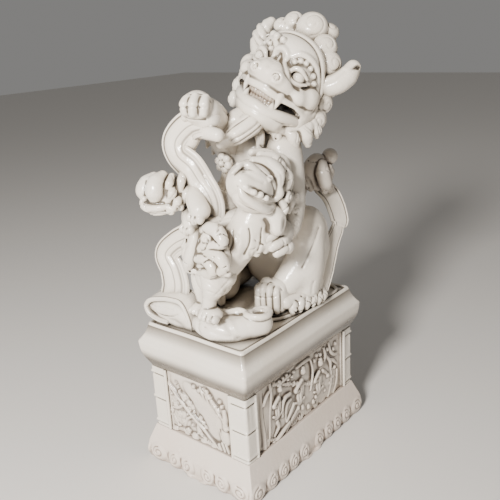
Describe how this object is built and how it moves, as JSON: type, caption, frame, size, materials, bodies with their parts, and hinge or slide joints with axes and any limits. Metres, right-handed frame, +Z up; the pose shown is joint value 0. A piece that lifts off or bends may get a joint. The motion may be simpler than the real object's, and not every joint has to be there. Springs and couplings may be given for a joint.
{
  "type": "foo dog statue",
  "caption": "Seated porcelain guardian lion with raised paw, cubs climbing on it and a draped silk ribbon, standing on a rectangular relief plinth with bamboo corner posts",
  "frame": {"origin": "bottom middle of the whole statue's bounding box, on the surface it stands on; the plinth's own middle is 9.8 mm from it toward +Y, because the lion's tipped head reaches past the plinth toward -Y", "axes": "+Z up; the lion's body faces -X; its left side faces -Y, where the head turns and leans out over the plinth"},
  "size_m": [0.176, 0.1416, 0.38],
  "materials": {
    "white_glaze": "glossy clear glaze over warm white porcelain, grey-brown where it pools",
    "thin_glaze": "thin satin glaze over slightly pink porcelain",
    "pooled_glaze": "glaze pooled in deep carving, brown-grey"
  },
  "bodies": {
    "root": {"base_moulding": "thin_glaze", "post_front_left": "white_glaze", "post_front_right": "white_glaze", "post_back_right": "white_glaze", "post_back_left": "white_glaze", "panel_riders_front": "white_glaze", "panel_riders_back": "white_glaze", "panel_tree_left": "white_glaze", "panel_tree_right": "white_glaze", "cornice": "white_glaze", "ground_slab": "white_glaze", "eye_right": "white_glaze", "eye_left": "white_glaze", "ear_right": "white_glaze", "ear_left": "white_glaze", "teeth": "pooled_glaze", "lower_jaw": "white_glaze", "head": "white_glaze", "mane_crown": "white_glaze", "mane_left": "white_glaze", "mane_right": "white_glaze", "mane_back": "white_glaze", "beard_lock": "white_glaze", "beard_strands": "white_glaze", "bell_rosette": "white_glaze", "bell_tassel": "white_glaze", "ribbon_upper": "white_glaze", "ribbon_middle": "white_glaze", "ribbon_column": "white_glaze", "ribbon_loop": "white_glaze", "ribbon_scroll": "white_glaze", "ribbon_fold": "white_glaze", "cub_left_head": "white_glaze", "cub_left_paw_upper": "white_glaze", "cub_left_paw_lower": "white_glaze", "cub_left_body": "white_glaze", "cub_front_tail": "white_glaze", "cub_front_head": "white_glaze", "cub_front_jaw": "white_glaze", "cub_front_mane": "white_glaze", "cub_front_hind_leg_left": "white_glaze", "cub_front_hind_leg_right": "white_glaze", "cub_front_foreleg": "white_glaze", "cub_front_body": "white_glaze", "hind_paw_left": "white_glaze", "heel_tufts_left": "white_glaze", "hind_leg_left": "white_glaze", "hind_leg_right": "white_glaze", "forepaw_left": "white_glaze", "foreleg_left": "white_glaze", "forepaw_right": "white_glaze", "foreleg_right": "white_glaze", "tail": "pooled_glaze", "sash_band": "white_glaze", "sash_drape": "white_glaze", "hips": "white_glaze", "chest": "white_glaze"}
  },
  "joints": []
}
